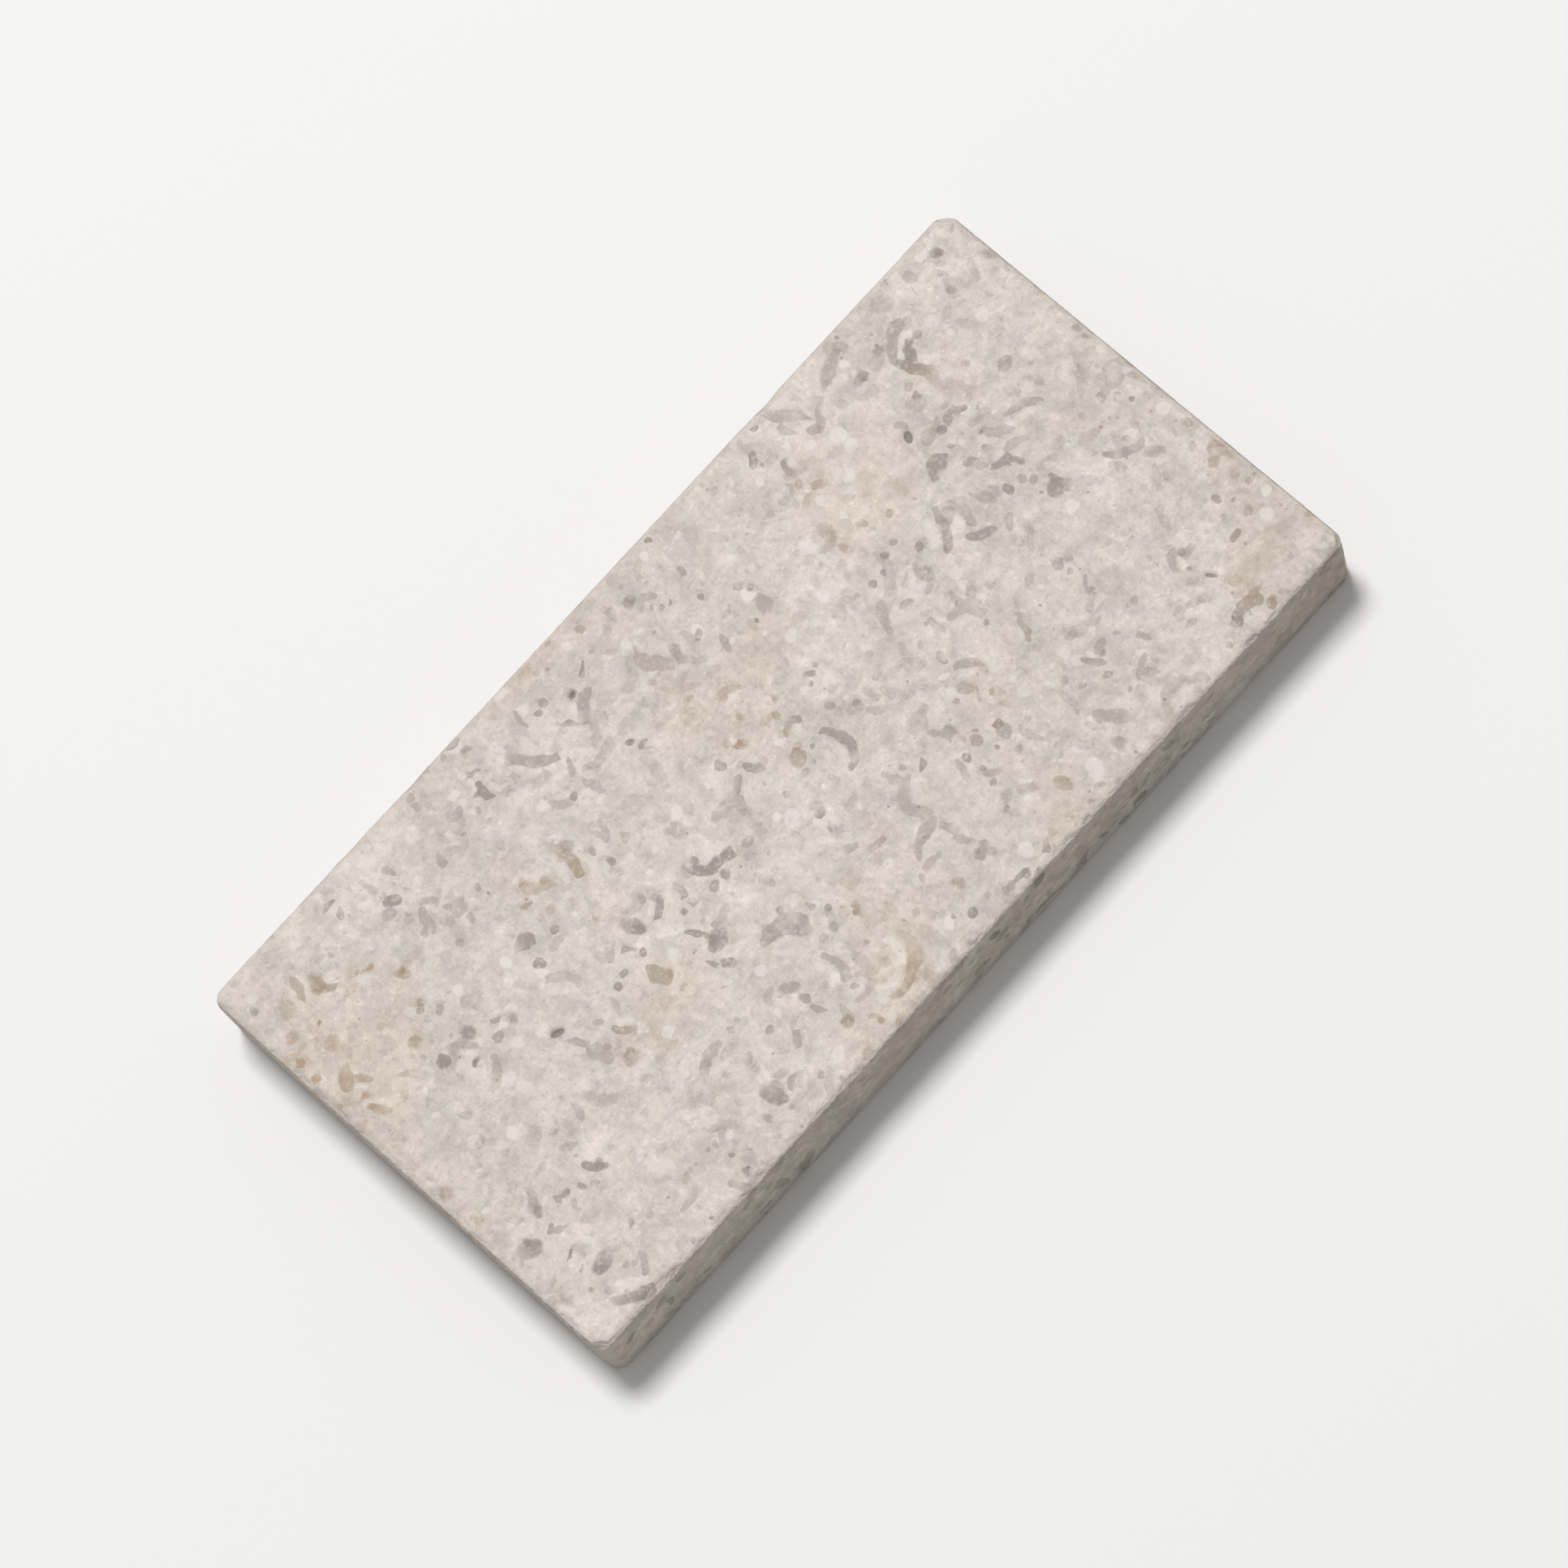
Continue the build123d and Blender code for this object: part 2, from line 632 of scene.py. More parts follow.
@dataclass(frozen=True)
class Limestone:
    """The finish: a warm beige limestone full of shell fragments, honed on its face and sawn elsewhere.

    At a flatness of 1 the shells would lie at random, and at 0 they would all stand upright.
    """

    slot: str = "limestone"
    matrix: Colour = (0.700, 0.632, 0.572)
    shell: Colour = (0.242, 0.209, 0.175)
    rusty_shell: Colour = (0.330, 0.222, 0.130)
    fleck: Colour = (0.800, 0.750, 0.690)
    # Paler worn arrises: partly real wear of crushed stone, partly a painted highlight along the arrises
    worn: Colour = (0.720, 0.660, 0.600)
    wear_and_highlight_amount: float = 0.45
    # Painted shade and dirt: the dark colour laid into the pits and the pores, where shade falls inside the
    # holes
    hole_shade_and_dirt: Colour = (0.200, 0.168, 0.136)
    pit_shade_and_dirt_amount: float = 0.72

    # The ground's tints, from one noise texture's three numbers
    shaded: Tint = Tint(colour=(0.640, 0.573, 0.515), thin=0.30, thick=0.70, amount=1.0)
    ochre: Tint = Tint(colour=(0.650, 0.540, 0.435), thin=0.50, thick=0.66, amount=0.36)
    cool: Tint = Tint(colour=(0.590, 0.570, 0.558), thin=0.52, thick=0.70, amount=0.28)
    tint_size: float = 34.0
    tint_detail: float = 1.5
    tint_rough: float = 0.6

    # The ground's tone, each layer from its darkest patches to its palest
    mottling: tuple[Patches, ...] = (
        Patches(size=23.0, detail=3.0, rough=0.60, low=0.960, high=1.020),
        Patches(size=9.3, detail=3.0, rough=0.60, low=0.935, high=1.030),
        Patches(size=4.3, detail=3.0, rough=0.60, low=0.885, high=1.055),
        Patches(size=1.7, detail=3.0, rough=0.62, low=0.935, high=1.045),
        Patches(size=0.43, detail=2.0, rough=0.60, low=0.950, high=1.035),
    )
    packed_grains: tuple[PackedGrains, ...] = (
        PackedGrains(spacing=1.9, contrast=0.10, offset=5.3),
        PackedGrains(spacing=0.8, contrast=0.12, offset=33.9),
    )

    # What lies in the ground
    shell_beds: tuple[ShellBed, ...] = (
        ShellBed(spacing=13.0, reach=9.5, bend=8.0, wall=2.7, share=0.46, amount=0.90, offset=13.1),
        ShellBed(spacing=8.0, reach=5.4, bend=6.4, wall=2.6, share=0.46, amount=0.92, offset=27.7),
        ShellBed(spacing=4.6, reach=3.3, bend=4.8, wall=1.9, share=0.50, amount=0.88, offset=41.3),
    )
    flatness: float = 0.45
    specks: tuple[GrainBed, ...] = (
        GrainBed(spacing=5.9, radius=2.2, stretch=1.8, share=0.46, amount=0.86, offset=7.9),
        GrainBed(spacing=3.3, radius=1.2, stretch=1.6, share=0.50, amount=0.85, offset=87.1),
    )
    flecks: GrainBed = GrainBed(spacing=4.3, radius=1.7, stretch=1.7, share=0.50, amount=0.60, offset=29.3)
    # The pores are drawn only in colour: their darkness is painted shade of tiny pin-holes
    pores: GrainBed = GrainBed(spacing=2.3, radius=0.42, stretch=1.5, share=0.14, amount=0.55, offset=57.1)

    # Where the dark fragments are thick, and how the ground between them is toned there
    clusters: Patches = Patches(size=20.0, detail=3.0, rough=0.72, thin=0.40, thick=0.58)
    crowd: Span = (0.28, 1.05)
    cluster_tone: Span = (1.02, 0.96)
    soundness: Patches = Patches(size=0.9, detail=3.0, rough=0.65, thin=0.34, thick=0.52, low=0.45)

    # The shells that reach further than bent_over are bent, and everything else has uneven outlines
    bending: Warp = Warp(size=5.2, reach=0.8)
    unevenness: Warp = Warp(size=2.7, reach=0.34)
    bent_over: float = 4.0

    wear: Wear = Wear()
    saw: SawMarks = SawMarks()
    sheen: Sheen = Sheen()
    refraction: float = 1.5
    bumps: tuple[Bumps, ...] = (
        Bumps(size=1.3, detail=2.0, rough=0.60, height=0.070),
        Bumps(size=0.28, detail=0.0, rough=0.50, height=0.018),
    )
    broken_bumps: Bumps = Bumps(size=0.8, detail=2.0, rough=0.65, height=0.26)

    def material(self, low: Vector, high: Vector) -> bpy.types.Material:
        """Makes the stone for a block.

        Args:
            low: the block's lowest corner, in metres.
            high: its highest corner.

        Returns:
            The material.
        """
        bench = Bench(self.slot)
        place = bench.lay("ShaderNodeTexCoord")
        where = bench.scaled(place.outputs["Object"], TO_MM)
        _, _, facing_up = bench.parts(place.outputs["Normal"])
        worn, in_pit = self.wear.find(bench, where, low, high)
        broken = bench.math("MAXIMUM", worn, in_pit)
        sound = bench.patchy(where, self.soundness)

        colour, shell, pores = self.fragments(bench, where, sound)
        # Paler worn arrises and chips: partly real wear, partly a painted highlight along the arrises
        colour = bench.blend(bench.times(worn, self.wear_and_highlight_amount), colour, self.worn)
        # Painted shade and dirt in the pits, darkening them so that they read as holes
        colour = bench.blend(bench.times(in_pit, self.pit_shade_and_dirt_amount), colour, self.hole_shade_and_dirt)
        rough = self.sheen.ground(bench, facing_up, sound)
        rough = bench.math("MULTIPLY_ADD", shell, self.sheen.shell, rough)
        rough = bench.math("MULTIPLY_ADD", broken, self.sheen.broken, rough)
        rough = bench.math("MULTIPLY_ADD", pores, self.sheen.pore, rough)
        bench.feed(bench.shader.inputs["Base Color"], colour)
        bench.feed(bench.shader.inputs["Roughness"], rough)
        bench.feed(bench.shader.inputs["Normal"], self.relief(bench, where, facing_up, broken))
        bench.feed(bench.shader.inputs["IOR"], self.refraction)
        return bench.material

    def fragments(self, bench: Bench, where: Socket, sound: Socket) -> tuple[Socket, Socket, Socket]:
        """Lays the fragments on the ground: pale flecks, shells, dark specks, and pores.

        Args:
            bench: the material's nodes.
            where: the place in the stone, in millimetres.
            sound: how sound the dark fragments are here, up to 1.

        Returns:
            The stone's colour, and how much of this place is shell and how much is pore, from 0 to 1.
        """
        uneven = bench.warped(where, self.unevenness)
        bent = bench.warped(where, self.bending)
        clusters = bench.patchy(where, self.clusters)
        dark = bench.times(bench.spread(clusters, *self.crowd), sound)
        colour, stained = self.ground(bench, where, uneven)
        mark = bench.blend(stained, self.shell, self.rusty_shell)
        colour = bench.scaled(colour, bench.spread(clusters, *self.cluster_tone))
        flecks = bench.times(self.grains(bench, uneven, self.flecks), self.flecks.amount)
        colour = bench.blend(flecks, colour, self.fleck)
        shell: Value = 0.0
        for bed in self.shell_beds:
            wall, lining = self.shells(bench, bent if bed.reach > self.bent_over else uneven, bed)
            colour = bench.blend(bench.times(lining, bed.lining_amount * bed.amount), colour, self.fleck)
            shell = bench.math("MAXIMUM", shell, bench.times(wall, bed.amount))
        shell = bench.times(shell, dark)
        colour = bench.blend(shell, colour, mark)
        for bed in self.specks:
            speck = bench.times(self.grains(bench, uneven, bed), bed.amount)
            colour = bench.blend(bench.times(speck, dark), colour, mark)
        # Painted shade of the pores, darkening tiny pin-holes that have no relief of their own
        pores = self.grains(bench, where, self.pores)
        colour = bench.blend(bench.times(pores, self.pores.amount), colour, self.hole_shade_and_dirt)
        return colour, shell, pores

    def ground(self, bench: Bench, where: Socket, uneven: Socket) -> tuple[Socket, Socket]:
        """Mixes the fine ground that the fragments lie in: tinted in clouds, mottled and grainy.

        Args:
            bench: the material's nodes.
            where: the place in the stone, in millimetres.
            uneven: the same place, shifted so that outlines there come out uneven.

        Returns:
            Its colour, and how ochre this place is, from 0 to 1.
        """
        tinting = bench.cloud(where, self.tint_size, self.tint_detail, self.tint_rough)
        shade, ochre, cool = bench.parts(tinting.outputs["Color"])
        colour, _ = self.shaded.wash(bench, shade, self.matrix)
        colour, stained = self.ochre.wash(bench, ochre, colour)
        colour, _ = self.cool.wash(bench, cool, colour)
        for layer in self.mottling:
            colour = bench.scaled(colour, bench.patchy(uneven, layer))
        for grains in self.packed_grains:
            colour = bench.scaled(colour, self.packed(bench, uneven, grains))
        return colour, stained

    def packed(self, bench: Bench, where: Socket, grains: PackedGrains) -> Socket:
        """Draws grains that lie side by side.

        Args:
            bench: the material's nodes.
            where: the place in the stone, in millimetres.
            grains: their size and contrast.

        Returns:
            What the stone's colour is multiplied by, about 1.
        """
        _, distance, luck = bench.cells(where, grains.spacing, grains.offset)
        own, _, _ = bench.parts(luck)
        body = bench.step(distance, grains.rim * grains.spacing, grains.core * grains.spacing)
        swing = bench.times(bench.math("SUBTRACT", own, MIDDLE[0]), body)
        return bench.math("MULTIPLY_ADD", swing, 2 * grains.contrast, 1.0)

    def shells(self, bench: Bench, where: Socket, bed: ShellBed) -> tuple[Socket, Socket]:
        """Draws shell fragments, one in each cell that holds one, lined on their hollow side.

        Args:
            bench: the material's nodes.
            where: the place in the stone, in millimetres.
            bed: their size and number.

        Returns:
            How much of this place is shell, and how much is pale lining, from 0 to 1.
        """
        away, distance, luck = bench.cells(where, bed.spacing, bed.offset)
        first, second, third = bench.parts(luck)
        lean = bench.vector("MULTIPLY", bench.vector("SUBTRACT", luck, MIDDLE), (1.0, 1.0, self.flatness))
        pole = bench.vector("NORMALIZE", lean)

        # How far this place is from the skin of the fragment's own sphere
        least, most = bed.bends
        bend = bench.spread(bench.drawn(first, Draw.SHELL_BEND), least * bed.bend, most * bed.bend)
        from_hub = bench.length(bench.vector("SUBTRACT", away, bench.scaled(pole, bend)))
        off_skin = bench.math("SUBTRACT", from_hub, bend)

        # Half the wall's thickness here, which shrinks to a thread past the rim
        reach = bench.spread(bench.drawn(second, Draw.SHELL_REACH), bed.shortest * bed.reach, bed.reach)
        reach = bench.math("MINIMUM", reach, bench.times(bend, bed.curl))
        along = bench.math("DIVIDE", distance, reach)
        fullness = bench.math("MULTIPLY_ADD", along, bench.times(along, -1.0), 1.0)
        fullness = bench.math("POWER", bench.math("MAXIMUM", fullness, TINY), bed.taper)
        half_wall = bench.times(fullness, bed.wall / 2)

        held = bench.math("LESS_THAN", bench.drawn(third, Draw.SHELL_HELD), bed.share)
        tone = bench.drawn(first, Draw.SHELL_TONE)
        strength = bench.times(bench.spread(bench.times(tone, tone), bed.faintest, 1.0), held)
        wall = bench.step(bench.math("DIVIDE", bench.math("ABSOLUTE", off_skin), half_wall), 1.0, bed.core)
        off_lining = bench.math("ABSOLUTE", bench.math("ADD", off_skin, bed.lining_off * bed.wall))
        lining = bench.step(bench.math("DIVIDE", off_lining, half_wall), 1.0, bed.lining_core)
        return bench.times(wall, strength), bench.times(lining, strength)

    def grains(self, bench: Bench, where: Socket, bed: GrainBed) -> Socket:
        """Draws lumpy grains, one in each cell that holds one, each longer one way than the others.

        Args:
            bench: the material's nodes.
            where: the place in the stone, in millimetres.
            bed: their size and number.

        Returns:
            How much of this place is grain, from 0 to 1.
        """
        away, _, luck = bench.cells(where, bed.spacing, bed.offset)
        first, second, third = bench.parts(luck)
        pole = bench.vector("NORMALIZE", bench.vector("SUBTRACT", luck, MIDDLE))
        distance = bench.length(bench.squeezed(away, pole, bed.stretch))
        radius = bench.spread(bench.drawn(first, Draw.GRAIN_RADIUS), bed.smallest * bed.radius, bed.radius)
        held = bench.math("LESS_THAN", bench.drawn(second, Draw.GRAIN_HELD), bed.share)
        strength = bench.times(bench.spread(bench.drawn(third, Draw.GRAIN_TONE), bed.faintest, 1.0), held)
        return bench.times(bench.step(bench.math("DIVIDE", distance, radius), 1.0, bed.core), strength)

    def relief(self, bench: Bench, where: Socket, facing_up: Socket, broken: Socket) -> Socket:
        """Shapes the surface's fine bumps: the stone's grain, its broken surfaces and the blade's marks.

        Args:
            bench: the material's nodes.
            where: the place in the stone, in millimetres.
            facing_up: how far up the surface faces, from -1 to 1.
            broken: how much of this place is worn arris or pit, from 0 to 1.

        Returns:
            The way that the bumpy surface faces.
        """
        height = self.saw.height(bench, where, facing_up)
        for bumps in self.bumps:
            height = bench.math("MULTIPLY_ADD", bumps.noise(bench, where), bumps.height, height)
        rubble = bench.times(broken, self.broken_bumps.noise(bench, where))
        height = bench.math("MULTIPLY_ADD", rubble, self.broken_bumps.height, height)
        bump = bench.lay("ShaderNodeBump")
        bench.feed(bump.inputs["Strength"], 1.0)
        bench.feed(bump.inputs["Distance"], MM)
        bench.feed(bump.inputs["Height"], height)
        return bump.outputs["Normal"]


@dataclass(frozen=True)
class Relief:
    """One layer of unevenness that the surface itself is moved by."""

    name: str
    size: float
    depth: float
    hard: bool = False
    octaves: int = 3


@dataclass(frozen=True)
class Flakes:
    """The small flakes that have come off the arrises, cut with one rough pebble.

    A flake's depth, height, length and width are shares of its size, and tilts is how far it leans off the
    arris's own direction. A larger rarity leaves fewer large flakes. The pebble's lumps are in its radii.
    """

    seed: int = 11
    face_spacing: float = 4.2
    bed_spacing: float = 11.0
    sizes: Span = (0.7, 3.4)
    rarity: float = 1.8
    depths: Span = (0.10, 0.20)
    heights: Span = (0.5, 0.9)
    tilts: Span = (-0.5, 0.5)
    lengths: Span = (0.9, 1.6)
    widths: Span = (0.6, 1.0)
    lump_size: float = 0.8
    lump_depth: float = 0.45
    lump_octaves: int = 2

    def pebble(self) -> bpy.types.Object:
        """Models the rough pebble that flakes are cut with, about 1 m in radius, from a ball.

        Returns:
            The pebble.
        """
        bpy.ops.object.select_all(action="DESELECT")
        bpy.ops.mesh.primitive_ico_sphere_add(subdivisions=2, radius=1.0)
        pebble = bpy.context.object
        rough = pebble.modifiers.new("rough", "DISPLACE")
        rough.texture = clouds("pebble grain", self.lump_size, self.lump_octaves)
        rough.texture_coords = "LOCAL"
        rough.strength = self.lump_depth
        rough.mid_level = 0.5
        bpy.ops.object.modifier_apply(modifier=rough.name)
        return pebble

    def place(self, chance: Random, middle: Vector, run: Vector, out: Vector, worn: float) -> Matrix:
        """Draws where the next flake comes off an arris, and how large it is.

        Args:
            chance: the random draws.
            middle: the middle of the arris.
            run: half of its run.
            out: the way out of the stone.
            worn: how far the arris is worn back, in metres.

        Returns:
            What turns, sizes and places the pebble that cuts it.
        """
        smallest, largest = self.sizes
        size = smallest * (largest / smallest) ** (chance.random() ** self.rarity) * MM
        depth = size * chance.uniform(*self.depths)
        height = size * chance.uniform(*self.heights)
        tilt = chance.uniform(*self.tilts)
        lean = Vector((out.x, out.y, out.z + tilt * abs(out.z))).normalized()
        along = run.normalized()
        turn = Matrix((along, lean.cross(along), lean)).transposed().to_4x4()
        centre = middle + run * chance.uniform(-1, 1) + lean * (height - worn - depth)
        radii = (size * chance.uniform(*self.lengths), size * chance.uniform(*self.widths), height)
        own_turn = Euler([chance.uniform(0, tau) for _ in range(3)]).to_matrix().to_4x4()
        return Matrix.Translation(centre) @ turn @ Matrix.Diagonal((*radii, 1.0)) @ own_turn


@dataclass
class BrickSlip:
    """The slip itself: the sawn block, with flakes off its arrises and the unevenness of honed stone.

    arris_depth and arris_reach hold how deep the surface lies, under the block's nearest plane and under the
    second nearest, where the arris relief starts and where it is whole.
    """

    node: str = "slip"
    body: str = "root"
    name: str = "slip_stone"
    arris: float = 1.8
    bed_arris: float = 0.6
    merge_distance: float = 0.001
    flakes: Flakes = Flakes()
    voxel: float = 0.36
    arris_relief: tuple[Relief, ...] = (
        Relief(name="arris wave", size=8.0, depth=0.40),
        Relief(name="arris grain", size=1.1, depth=0.22, hard=True),
    )
    arris_depth: Span = (0.05, 0.25)
    arris_reach: Span = (4.5, 2.0)
    face_relief: Relief = Relief(name="ripple", size=3.0, depth=0.05)
    triangles: int = 190_000

    def build(self, finish: Limestone) -> bpy.types.Object:
        """Makes the slip and dresses it.

        Args:
            finish: the stone.

        Returns:
            The piece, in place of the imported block.
        """
        low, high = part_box(self.node)
        piece = self.copy_block()
        self.strike_flakes(piece, low, high)
        self.remesh(piece)
        self.roughen(piece, low, high)
        self.thin(piece)
        self.keep_inside(piece, low, high)
        only(piece)
        bpy.ops.object.shade_smooth()
        piece.data.materials.clear()
        piece.data.materials.append(finish.material(low, high))
        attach(piece, self.body)
        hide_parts(self.node)
        return piece

    def copy_block(self) -> bpy.types.Object:
        """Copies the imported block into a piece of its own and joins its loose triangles.

        Returns:
            The new piece.
        """
        block = frame["nodes"][self.node]
        piece = block.copy()
        piece.data = block.data.copy()
        piece.parent = None
        for key in list(piece.keys()):
            del piece[key]
        piece.name = self.name
        bpy.context.scene.collection.objects.link(piece)
        only(piece)
        bpy.ops.object.mode_set(mode="EDIT")
        bpy.ops.mesh.select_all(action="SELECT")
        bpy.ops.mesh.remove_doubles(threshold=self.merge_distance * MM)
        bpy.ops.mesh.normals_make_consistent(inside=False)
        bpy.ops.object.mode_set(mode="OBJECT")
        return piece

    def arrises(self, low: Vector, high: Vector) -> Iterator[tuple[Vector, Vector, Vector, float]]:
        """Lists the block's level arrises.

        Args:
            low: the block's lowest corner.
            high: its highest corner.

        Yields:
            For each arris its middle, half of its run, the way out of the stone, and how far it is worn, in
            metres.
        """
        half = (high - low) / 2
        middle = (low + high) / 2
        for level in Level:
            arris = self.arris if level is Level.FACE else self.bed_arris
            for side in Side:
                out = Vector(side.value)
                run = Vector((abs(out.y) * half.x, abs(out.x) * half.y, 0))
                edge = middle + Vector((out.x * half.x, out.y * half.y, level.value * half.z))
                yield edge, run, (out + Vector((0, 0, level.value))).normalized(), arris * (sqrt(2) - 1) * MM

    def strike_flakes(self, piece: bpy.types.Object, low: Vector, high: Vector) -> None:
        """Knocks small flakes off the arrises, larger ones seldom and smaller ones often.

        Args:
            piece: the block.
            low: its lowest corner.
            high: its highest corner.
        """
        chance = Random(self.flakes.seed)
        cutters = bpy.data.collections.new("cutters")
        bpy.context.scene.collection.children.link(cutters)
        pebble = self.flakes.pebble()
        for middle, run, out, worn in self.arrises(low, high):
            spacing = self.flakes.face_spacing if out.z > 0 else self.flakes.bed_spacing
            for _ in range(round(2 * run.length * TO_MM / spacing)):
                cutter = bpy.data.objects.new("cutter", pebble.data.copy())
                cutter.data.transform(self.flakes.place(chance, middle, run, out, worn))
                cutters.objects.link(cutter)
        cut = piece.modifiers.new("flakes", "BOOLEAN")
        cut.operation = "DIFFERENCE"
        cut.operand_type = "COLLECTION"
        cut.collection = cutters
        cut.solver = "EXACT"
        only(piece)
        bpy.ops.object.modifier_apply(modifier=cut.name)
        for used in [pebble, *cutters.objects]:
            bpy.data.objects.remove(used)
        bpy.data.collections.remove(cutters)

    def remesh(self, piece: bpy.types.Object) -> None:
        """Gives the block an even mesh that is fine enough for its relief.

        Args:
            piece: the block.
        """
        only(piece)
        even = piece.modifiers.new("even", "REMESH")
        even.mode = "VOXEL"
        even.voxel_size = self.voxel * MM
        even.adaptivity = 0.0
        bpy.ops.object.modifier_apply(modifier=even.name)

    def roughen(self, piece: bpy.types.Object, low: Vector, high: Vector) -> None:
        """Adds the fine unevenness of the surfaces, most of it on the worn arrises.

        Args:
            piece: the block.
            low: its lowest corner.
            high: its highest corner.
        """
        depth, second = planes(vertices(piece), low, high)
        near_arris = ramp(second * TO_MM, *self.arris_reach)
        paint(piece, "arris", near_arris * ramp(depth * TO_MM, *self.arris_depth))
        for relief in self.arris_relief:
            self.displace(piece, relief, "arris")
        self.displace(piece, self.face_relief, "")

    def displace(self, piece: bpy.types.Object, relief: Relief, group: str) -> None:
        """Moves the surface in and out by clouds.

        Args:
            piece: the block.
            relief: how large the clouds are, and how far they move it from its highest to its lowest.
            group: the vertex group that moves, or nothing for all.
        """
        only(piece)
        move = piece.modifiers.new(relief.name, "DISPLACE")
        move.texture = clouds(relief.name, relief.size * MM, relief.octaves)
        if relief.hard:
            move.texture.noise_type = "HARD_NOISE"
        move.texture_coords = "LOCAL"
        move.strength = relief.depth * MM
        move.mid_level = 0.5
        move.vertex_group = group
        bpy.ops.object.modifier_apply(modifier=move.name)

    def thin(self, piece: bpy.types.Object) -> None:
        """Takes triangles out where the surface needs them least.

        Args:
            piece: the block.
        """
        only(piece)
        count = triangle_count(piece)
        fewer = piece.modifiers.new("fewer", "DECIMATE")
        fewer.ratio = min(1.0, self.triangles / count)
        bpy.ops.object.modifier_apply(modifier=fewer.name)
        log_book.info("%s: %d triangles, thinned from %d", piece.name, triangle_count(piece), count)

    def keep_inside(self, piece: bpy.types.Object, low: Vector, high: Vector) -> None:
        """Takes off what stands proud, as honing and sawing leave nothing outside the block's planes.

        Args:
            piece: the block.
            low: its lowest corner.
            high: its highest corner.
        """
        places = np.clip(vertices(piece), np.array(low), np.array(high))
        piece.data.vertices.foreach_set("co", places.ravel())
        piece.data.update()


def only(piece: bpy.types.Object) -> None:
    """Selects one object and makes it the active one.

    Args:
        piece: the object.
    """
    bpy.ops.object.select_all(action="DESELECT")
    piece.select_set(True)
    bpy.context.view_layer.objects.active = piece


def vertices(piece: bpy.types.Object) -> np.ndarray:
    """Reads where an object's vertices are.

    Args:
        piece: the object.

    Returns:
        Their places in metres, one row each.
    """
    places = np.empty(len(piece.data.vertices) * 3)
    piece.data.vertices.foreach_get("co", places)
    return places.reshape(-1, 3)


def triangle_count(piece: bpy.types.Object) -> int:
    """Counts the triangles that an object's faces are made of."""
    return sum(len(face.vertices) - 2 for face in piece.data.polygons)


def planes(places: np.ndarray, low: Vector, high: Vector) -> tuple[np.ndarray, np.ndarray]:
    """Measures how deep places lie under the two nearest planes of a box.

    Args:
        places: the places, one row each.
        low: the box's lowest corner.
        high: its highest corner.

    Returns:
        The depth under the nearest plane and under the second nearest.
    """
    middle = (np.array(low) + np.array(high)) / 2
    half = (np.array(high) - np.array(low)) / 2
    deep = np.sort(half - np.abs(places - middle), axis=1)
    return deep[:, 0], deep[:, 1]


def ramp(values: np.ndarray, start: float, end: float) -> np.ndarray:
    """Rises evenly from 0 where a value is at start to 1 where it is at end, above or below it."""
    return np.clip((values - start) / (end - start), 0, 1)


def paint(piece: bpy.types.Object, name: str, weights: np.ndarray, levels: int = 20) -> None:
    """Fills a vertex group, with the weights rounded to a few levels.

    Args:
        piece: the object.
        name: what the group is called.
        weights: a weight from 0 to 1 for each vertex.
        levels: how many levels of weight there are.
    """
    group = piece.vertex_groups.new(name=name)
    rounded = np.round(weights * levels).astype(int)
    for level in range(1, levels + 1):
        group.add(np.flatnonzero(rounded == level).tolist(), level / levels, "REPLACE")


def clouds(name: str, size: float, octaves: int) -> bpy.types.Texture:
    """Makes a cloud texture that moves a surface.

    Args:
        name: what it is called.
        size: how large its clouds are, in metres.
        octaves: how many finer octaves it has.

    Returns:
        The texture.
    """
    texture = bpy.data.textures.new(name, "CLOUDS")
    texture.noise_scale = size
    texture.noise_depth = octaves
    return texture


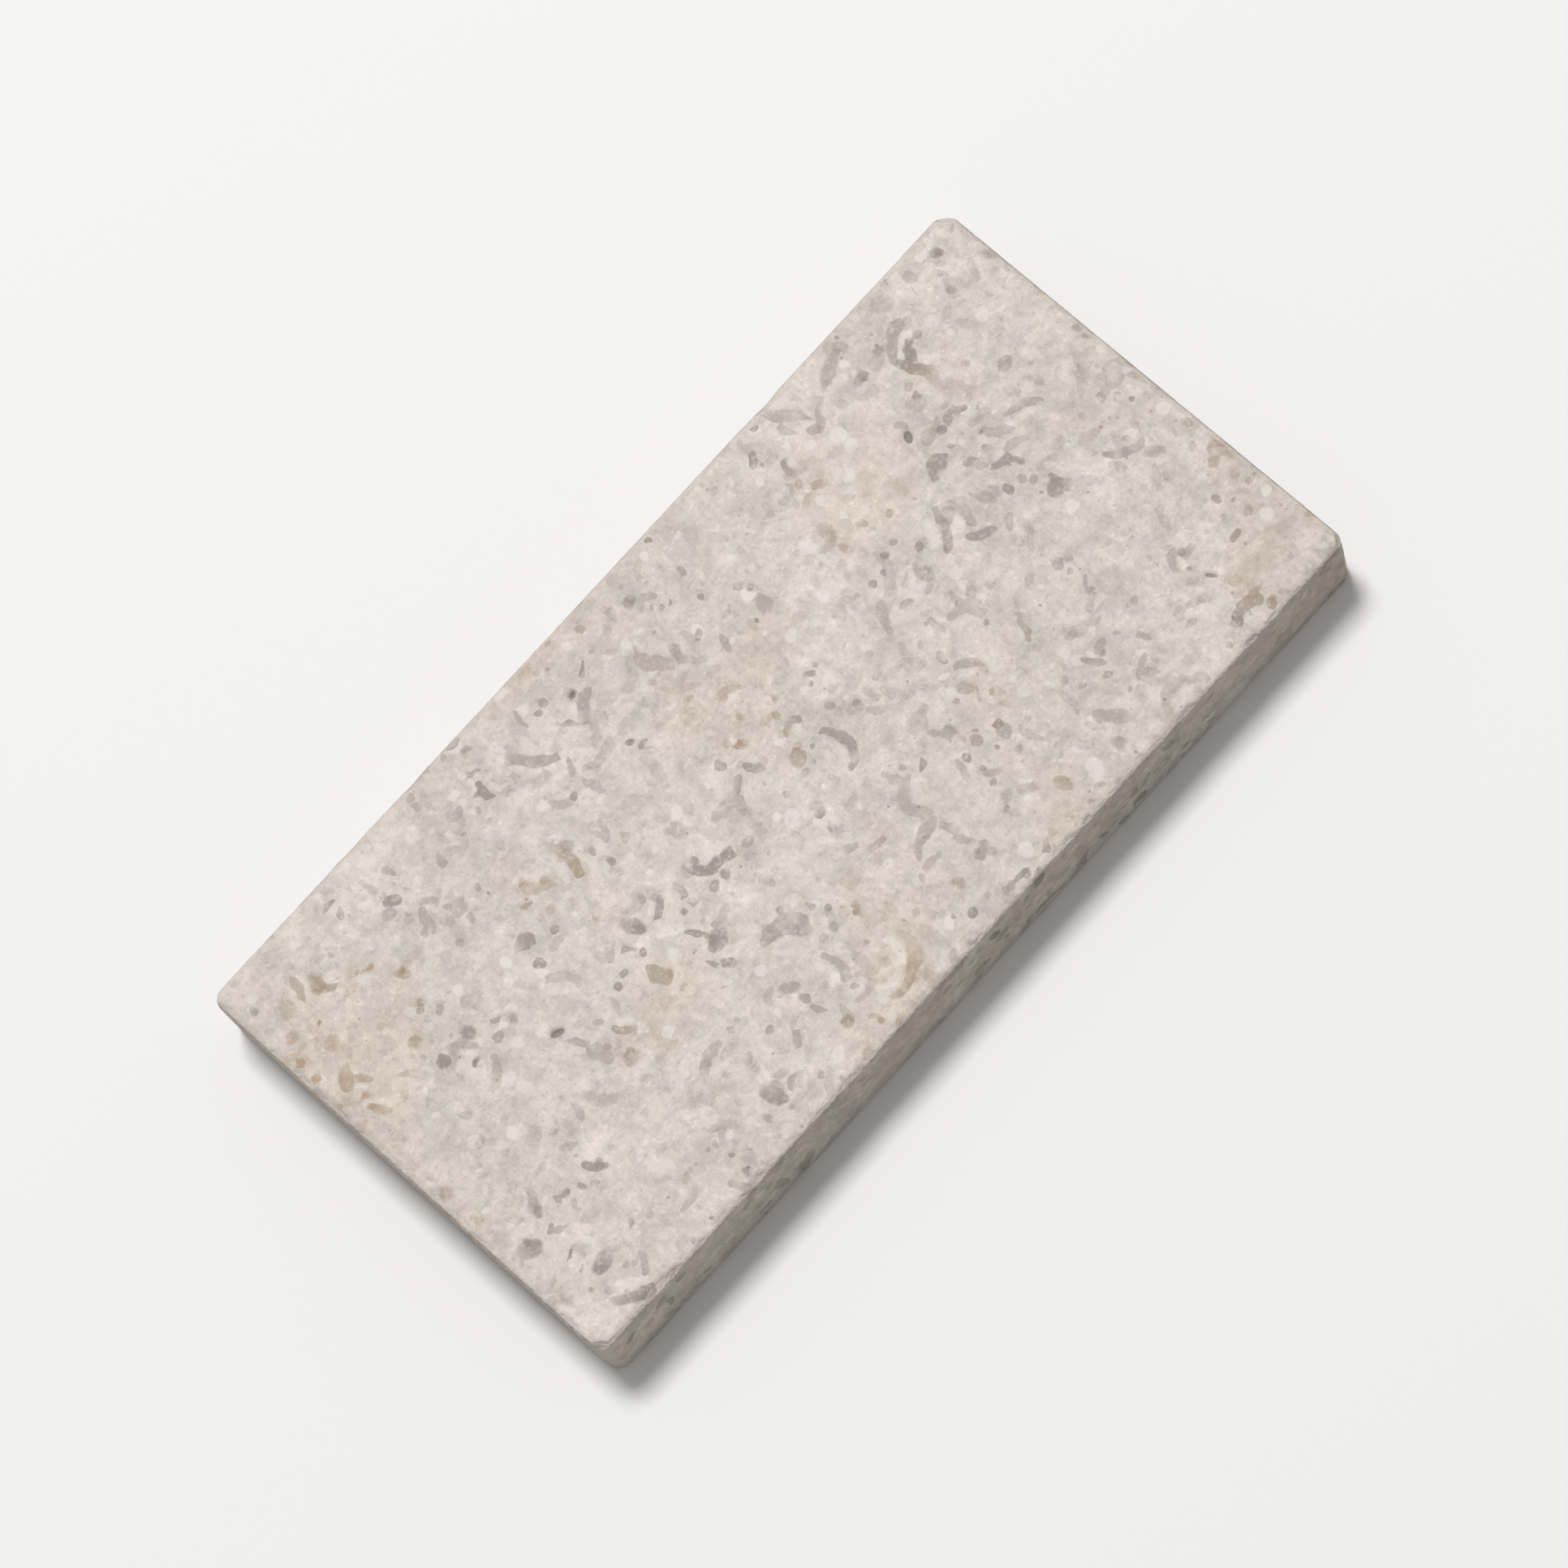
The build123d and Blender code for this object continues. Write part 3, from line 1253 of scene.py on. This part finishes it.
@dataclass
class Studio:
    """The pale floor, the soft light and the camera. Its lengths are in metres."""

    floor_size: float = 6.0
    floor_colour: Colour = (0.86, 0.86, 0.855)
    floor_bounce: Colour = (0.50, 0.49, 0.48)
    floor_roughness: float = 0.9
    sky_colour: Colour = (1.0, 0.99, 0.98)
    sky_strength: float = 0.34
    key_from: Place = (0.32, 1.09, 3.40)
    key_size: float = 0.9
    key_power: float = 94.0
    camera_place: Place = (-0.121, -0.338, 1.146)
    camera_level: Place = (0.651, -0.759, 0.0)
    camera_lens: float = 149.0

    def build(self, target: Vector) -> None:
        """Sets up the floor, the light and the camera.

        Args:
            target: what the camera and the lamp point at.
        """
        self.lay_floor()
        self.light(target)
        self.aim_camera(target)

    def lay_floor(self) -> None:
        """Lays the floor that the slip lies on, paler to the camera than what it bounces onto the stone."""
        bpy.ops.object.select_all(action="DESELECT")
        bpy.ops.mesh.primitive_plane_add(size=self.floor_size)
        floor = bpy.context.object
        floor.name = "floor"
        bench = Bench("floor_paint")
        ray = bench.lay("ShaderNodeLightPath")
        seen = bench.math("MAXIMUM", ray.outputs["Is Camera Ray"], ray.outputs["Is Glossy Ray"])
        seen = bench.math("MAXIMUM", seen, ray.outputs["Is Transmission Ray"])
        bench.feed(bench.shader.inputs["Base Color"], bench.blend(seen, self.floor_bounce, self.floor_colour))
        bench.feed(bench.shader.inputs["Roughness"], self.floor_roughness)
        floor.data.materials.append(bench.material)
        floor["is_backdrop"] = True

    def light(self, target: Vector) -> None:
        """Hangs a soft lamp over the slip's back long side and fills in with an even sky.

        Args:
            target: what the lamp points at.
        """
        bpy.ops.object.light_add(type="AREA", location=self.key_from)
        key = bpy.context.object
        key.name = "key"
        key.data.shape = "SQUARE"
        key.data.size = self.key_size
        key.data.energy = self.key_power
        key.rotation_euler = (target - key.location).to_track_quat("-Z", "Y").to_euler()

        world = bpy.data.worlds.new("sky")
        bpy.context.scene.world = world
        world.use_nodes = True
        background = world.node_tree.nodes["Background"]
        background.inputs["Color"].default_value = (*self.sky_colour, 1.0)
        background.inputs["Strength"].default_value = self.sky_strength

    def aim_camera(self, target: Vector) -> None:
        """Puts the camera where the photograph was taken from, and closes in on the slip.

        Args:
            target: what it points at.
        """
        bpy.ops.object.camera_add(location=self.camera_place)
        camera = bpy.context.object
        camera.name = "camera"
        back = (camera.location - target).normalized()
        level = Vector(self.camera_level)
        right = (level - back * level.dot(back)).normalized()
        camera.rotation_euler = Matrix((right, back.cross(right), back)).transposed().to_euler()
        camera.data.lens = self.camera_lens
        bpy.context.scene.camera = camera
        bpy.context.scene.view_settings.view_transform = "Standard"


def main() -> None:
    """Builds the slip and its studio."""
    logging.basicConfig(level=logging.INFO, format="%(name)s: %(message)s")
    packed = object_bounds()
    piece = BrickSlip().build(Limestone())
    log_book.info("%s stands for the packed block", piece.name)
    Studio().build((packed[0] + packed[1]) / 2)


if __name__ == "__main__":
    main()
